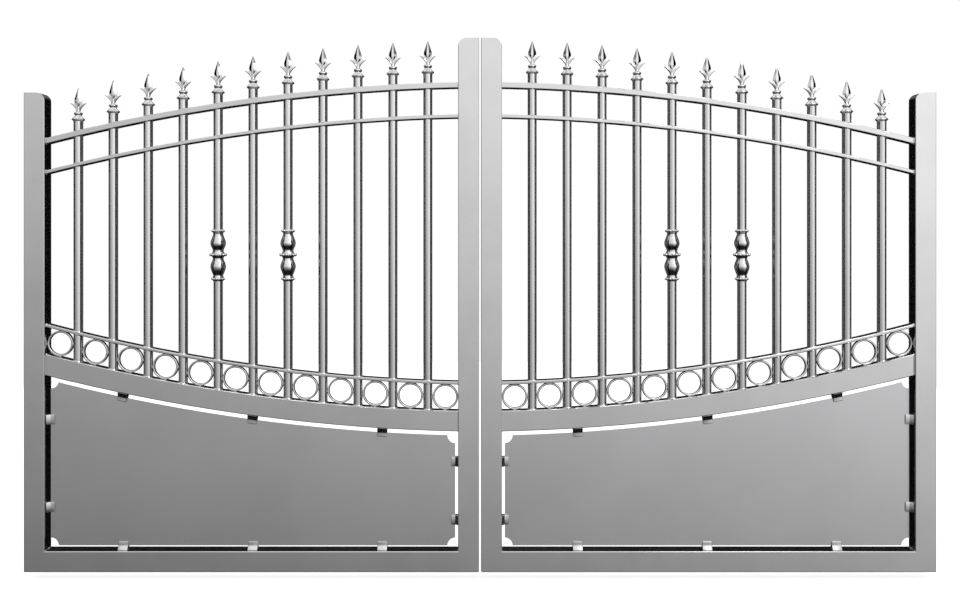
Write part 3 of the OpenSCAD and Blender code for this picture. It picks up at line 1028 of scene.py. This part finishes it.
@dataclass
class RailWelds:
    """The welds that join the rails to the stiles."""

    side: Side
    radius: float = 2.4 * MM
    inset: float = 3.0 * MM
    corner_reach: float = 0.8
    corner_lean: float = 0.01

    def build(self, dresser: Dresser) -> None:
        """Lays a bead around each end of each rail, and in the two lower corners."""
        shape = Shape()
        for rail in ("mid_rail", "ring_rail", "second_rail", "top_rail"):
            points = points_of(self.side.node(rail))
            for pick in (np.min, np.max):
                edge = pick(points[:, 0])
                end = points[np.abs(points[:, 0] - edge) < MM / 2]
                low, high = end.min(0), end.max(0)
                self._frame(shape, edge, low, high)
        bottom = Solid(points_of(self.side.node("bottom_rail")))
        bay = Solid(points_of(self.side.node("mid_rail")))
        for x in (bay.low.x, bay.high.x):
            for y in (bottom.low.y + 2 * self.inset, bottom.high.y - 2 * self.inset):
                spot = Vector((x, y, bottom.high.z))
                lean = math.copysign(self.radius * self.corner_lean, bay.mid.x - x)
                along = Vector((lean, (bottom.mid.y - y) * self.corner_reach, 0))
                shape.bead(spot, spot + along, self.radius)
        dresser.dress(self.side.node("frame_welds"), shape, "tube_metal", self.side.body)

    def _frame(self, shape: Shape, x: float, low: np.ndarray, high: np.ndarray) -> None:
        """Lays the four beads around one rail end."""
        y0, y1 = low[1] + self.inset, high[1] - self.inset
        z0, z1 = low[2] + self.inset, high[2] - self.inset
        for z in (low[2], high[2]):
            shape.bead(Vector((x, y0, z)), Vector((x, y1, z)), self.radius)
        for y in (low[1], high[1]):
            shape.bead(Vector((x, y, z0)), Vector((x, y, z1)), self.radius)


# ---- hinges --------------------------------------------------------------------------------


@dataclass
class Hinge:
    """One hinge: the softened bracket and eye, the domed pin, the anchors, and the welds."""

    side: Side
    level: Level
    bracket_edge: float = 1.2 * MM
    eye_edge: float = 1.0 * MM
    nut_across: float = 19 * MM
    nut_height: float = 10 * MM
    stud: float = 6 * MM
    stud_out: float = 5 * MM
    washer: float = 12 * MM
    washer_t: float = 2.5 * MM
    plate_t: float = 8 * MM
    strap_weld: float = 3 * MM
    dome: float = 3 * MM

    @property
    def prefix(self) -> str:
        """Start of the names of this hinge's nodes."""
        return self.side.node(self.level.value)

    def build(self, dresser: Dresser, mounts: Sequence[dict[str, Any]]) -> None:
        """Makes the hinge.

        Args:
            dresser: finishes the pieces.
            mounts: the record's mounts, for the anchor holes.
        """
        for part, edge, body in (
            ("bracket", self.bracket_edge, "brackets"),
            ("hinge_eye", self.eye_edge, self.side.body),
        ):
            shape = Shape()
            node = f"{self.prefix}_{part}"
            softened_copy(shape, node, edge)
            if part == "hinge_eye":
                self._strap_welds(shape, Solid(points_of(node)))
            name = f"{self.prefix}_{'wall_bracket' if part == 'bracket' else 'barrel_eye'}"
            dresser.dress(name, shape, "hinge_metal", body, [node], 18.0)
        self._pin(dresser)
        self._anchors(dresser, mounts)

    def _strap_welds(self, shape: Shape, eye: Solid) -> None:
        """Welds the strap to the stile along its upper and lower edge."""
        stile = Solid(points_of(self.side.node("outer_stile")))
        y = stile.high.y
        near, far = (0.30, 0.95) if self.side is Side.LEFT else (0.05, 0.70)
        for z in (eye.low.z, eye.high.z):
            start = Vector((eye.low.x + near * eye.size.x, y, z))
            end = Vector((eye.low.x + far * eye.size.x, y, z))
            shape.bead(start, end, self.strap_weld)

    def _pin(self, dresser: Dresser) -> None:
        """Turns the pin with a domed head and a chamfered foot."""
        pin = Solid(points_of(f"{self.prefix}_pin"))
        radius, height = pin.size.x / 2, pin.size.z
        dome = ((1.0, 1.0), (0.92, 0.5), (0.72, 0.15), (0.4, 0.02), (0.0, 0.0))
        profile = [(0.0, 0.0), (radius - MM, 0.0), (radius, MM)]
        profile += [(radius * across, height - self.dome * down) for across, down in dome]
        shape = Shape()
        shape.lathe(profile, 40, Matrix.Translation((pin.mid.x, pin.mid.y, pin.low.z)))
        name = f"{self.prefix}_hinge_pin"
        dresser.dress(name, shape, "hinge_metal", "brackets", [f"{self.prefix}_pin"])

    def _anchors(self, dresser: Dresser, mounts: Sequence[dict[str, Any]]) -> None:
        """Puts a washer, a nut and a stud end on each anchor hole."""
        mount = next(m for m in mounts if m["name"] == f"{self.prefix}_bolts")
        inward = 1.0 if self.side is Side.LEFT else -1.0
        face_x = mount["pos_m"][0] + inward * self.plate_t
        dims = mount["dims"]
        shape = Shape()
        turn = Matrix.Rotation(inward * math.pi / 2, 4, "Y")
        for dy in (-0.5, 0.5):
            for dz in (-0.5, 0.5):
                y = mount["pos_m"][1] + dy * dims["spacing_x_mm"] * MM
                z = mount["pos_m"][2] + dz * dims["spacing_y_mm"] * MM
                place = Matrix.Translation((face_x, y, z)) @ turn
                self._nut(shape, place)
        dresser.dress(f"{self.prefix}_anchor_nuts", shape, "hinge_metal", "brackets")

    def _nut(self, shape: Shape, place: Matrix) -> None:
        """Adds one washer, nut and stud end."""
        bore, top = self.stud + 0.5 * MM, self.washer_t
        ring = ((bore, 0.0), (self.washer - 0.4 * MM, 0.0), (self.washer, 0.4 * MM),
                (self.washer, top - 0.4 * MM), (self.washer - 0.4 * MM, top), (bore, top))
        shape.lathe(ring, 32, place, closed=True)
        corner = self.nut_across / math.sqrt(3)
        flat, end = self.nut_across / 2, top + self.nut_height
        low, high = top + 1.2 * MM, end - 1.2 * MM
        nut = ((0.0, top), (flat, top), (corner, low), (corner, high), (flat, end), (0.0, end))
        shape.lathe(nut, 6, place)
        tip = end + self.stud_out
        stud = (
            (0.0, end - MM), (self.stud, end - MM), (self.stud, tip - MM),
            (self.stud - MM, tip), (0.0, tip),
        )
        shape.lathe(stud, 24, place)


# ---- studio --------------------------------------------------------------------------------


@dataclass
class Studio:
    """Floor, sky, light tent, lamp and camera around the gate."""

    span: float
    middle_x: float
    front_y: float
    ground_z: float
    eye_height: float = 1.33
    camera_distance: float = 3.578
    lens: float = 35.0
    sensor: float = 36.0
    horizon_shift: float = -0.0833
    floor_drop: float = 0.03
    floor_reach: float = 1.6
    floor_glow: float = 0.75
    soft_sky: float = 0.6
    lamp_place: tuple[float, float, float] = (2.4, -3.0, 4.6)
    lamp_size: float = 1.6
    lamp_power: float = 40.0
    lamp_aim: float = 1.0
    tent_radius: float = 30.0
    tent_level: float = 0.88
    tent_tilt: float = 0.63
    tent_rise: float = 1.5
    tent_top: float = 1.25
    tent_corner: float = 0.30
    tent_dark: float = 0.003

    @property
    def base(self) -> Vector:
        """The gate's middle at the ground."""
        return Vector((self.middle_x, self.front_y, self.ground_z))

    def build(self) -> None:
        """Makes the whole studio."""
        self.build_camera()
        self.build_world()
        self.build_tent()
        self.build_floor()
        self.build_lamp()
        bpy.context.scene.view_settings.view_transform = "Standard"

    def build_camera(self) -> None:
        """Sets a level camera square to the gate's middle."""
        data = bpy.data.cameras.new("camera")
        data.lens = self.lens
        data.sensor_width = self.sensor
        data.shift_y = self.horizon_shift
        camera = bpy.data.objects.new("camera", data)
        eye = self.base + Vector((0, -self.camera_distance, self.eye_height))
        camera.matrix_world = Matrix.Translation(eye) @ Matrix.Rotation(math.pi / 2, 4, "X")
        bpy.context.scene.collection.objects.link(camera)
        bpy.context.scene.camera = camera

    def build_world(self) -> None:
        """Shows plain white behind the gate, and lights the floor softly."""
        world = bpy.data.worlds.new("studio")
        bpy.context.scene.world = world
        world.use_nodes = True
        graph = Graph(world.node_tree)
        rays = graph.add("LightPath").outputs
        shown = graph.term(rays["Is Camera Ray"])
        for kind in ("Is Glossy Ray", "Is Transmission Ray"):
            shown = shown.at_least(graph.term(rays[kind]))
        soft = graph.add("Background", Color=WHITE, Strength=self.soft_sky).outputs[0]
        white = graph.add("Background", Color=WHITE, Strength=1.0).outputs[0]
        both = graph.add("MixShader", in_0=shown, in_1=soft, in_2=white)
        graph.add("OutputWorld", Surface=both.outputs[0])

    def build_tent(self) -> None:
        """Hangs a wide light tent that only reflections see.

        Its front wall is lit, brighter towards the right and the top. Its sides and back are
        dark cloth, with a dimly lit strip at each rear corner.
        """
        shape = Shape()
        place = Matrix.Translation(self.base)
        bmesh.ops.create_icosphere(shape.bm, subdivisions=4, radius=self.tent_radius, matrix=place)
        material = bpy.data.materials.new("light_tent")
        material.use_nodes = True
        material.cycles.emission_sampling = "NONE"
        graph = Graph(material.node_tree)
        spot = graph.add("TexCoord").outputs["Object"]
        direction = graph.vector("NORMALIZE", graph.vector("SUBTRACT", spot, tuple(self.base)))
        parts = graph.add("SeparateXYZ", Vector=direction).outputs
        x, y, z = (graph.term(parts[axis]) for axis in "XYZ")
        front = (0.0 - y).smooth(0.42, 0.62)
        tilt = self.tent_tilt + z.at_most(0.0) * 1.05
        wall = self.tent_level + x.at_least(-0.5) * tilt + z.at_most(0.22) * self.tent_rise
        corner = (x * x).smooth(0.30, 0.50) * y.smooth(0.45, 0.60) * self.tent_corner
        top = z.smooth(0.40, 0.80)
        lit = front * wall.at_least(0.015) * (1 - top) + top * self.tent_top
        level = lit + corner + self.tent_dark
        grey = graph.add("CombineXYZ", X=level, Y=level, Z=level).outputs[0]
        glow = graph.add("Emission", Color=grey, Strength=1.0)
        graph.add("OutputMaterial", Surface=glow.outputs[0])
        tent = bpy.data.objects.new("light_tent", shape.to_mesh("light_tent", None))
        tent.data.materials.append(material)
        tent.visible_camera = tent.visible_diffuse = False
        tent.visible_shadow = tent.visible_transmission = False
        bpy.context.scene.collection.objects.link(tent)
        tent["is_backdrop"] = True

    def build_floor(self) -> None:
        """Lays a pale round floor below the gate."""
        shape = Shape()
        place = Matrix.Translation(self.base - Vector((0, 0, self.floor_drop)))
        reach = self.floor_reach * self.span
        bmesh.ops.create_circle(shape.bm, cap_ends=True, radius=reach, segments=96, matrix=place)
        material = bpy.data.materials.new("floor")
        material.use_nodes = True
        graph = Graph(material.node_tree)
        plain = graph.add("BsdfPrincipled", Base_Color=(0.8, 0.8, 0.8, 1), Roughness=0.9)
        glow = graph.add("Emission", Color=WHITE, Strength=self.floor_glow)
        both = graph.add("AddShader", in_0=plain.outputs[0], in_1=glow.outputs[0])
        rays = graph.add("LightPath").outputs
        seen = rays["Is Camera Ray"]
        shown = graph.add("MixShader", in_0=seen, in_1=plain.outputs[0], in_2=both.outputs[0])
        graph.add("OutputMaterial", Surface=shown.outputs[0])
        floor = bpy.data.objects.new("floor", shape.to_mesh("floor", None))
        floor.data.materials.append(material)
        floor.visible_glossy = False
        bpy.context.scene.collection.objects.link(floor)
        floor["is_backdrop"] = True

    def build_lamp(self) -> None:
        """Hangs one square lamp that faces the middle of the gate."""
        data = bpy.data.lights.new("key", "AREA")
        data.size = self.lamp_size
        data.energy = self.lamp_power
        lamp = bpy.data.objects.new("key", data)
        spot = self.base + Vector(self.lamp_place)
        turn = (self.base + Vector((0, 0, self.lamp_aim)) - spot).to_track_quat("-Z", "Y")
        lamp.matrix_world = Matrix.Translation(spot) @ turn.to_matrix().to_4x4()
        bpy.context.scene.collection.objects.link(lamp)


def main() -> None:
    """Builds the gate's looks and the studio around it."""
    logging.basicConfig(level=logging.INFO, format="%(message)s")
    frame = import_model()
    cad_box = [list(corner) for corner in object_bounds()]
    low, high = (Vector(corner) for corner in cad_box)
    stile = Solid(points_of("left_outer_stile"))
    finishes = {finish.slot: finish.build() for finish in FINISHES}
    slots = {part["node"]: part["material_slot"] for part in frame["record"]["subparts"]}
    for name, node in frame["nodes"].items():
        node.data.materials.clear()
        node.data.materials.append(finishes[slots[name]])
    dresser = Dresser(finishes)
    for side in Side:
        for kind in (BarSet, RingRow, FinialSet, KnuckleSet, ClipSet, CapSet, RailWelds):
            kind(side).build(dresser)
        for level in Level:
            Hinge(side, level).build(dresser, frame["record"]["mounts"])
    Studio(high.x - low.x, (low.x + high.x) / 2, stile.low.y, stile.low.z).build()


if __name__ == "__main__":
    main()
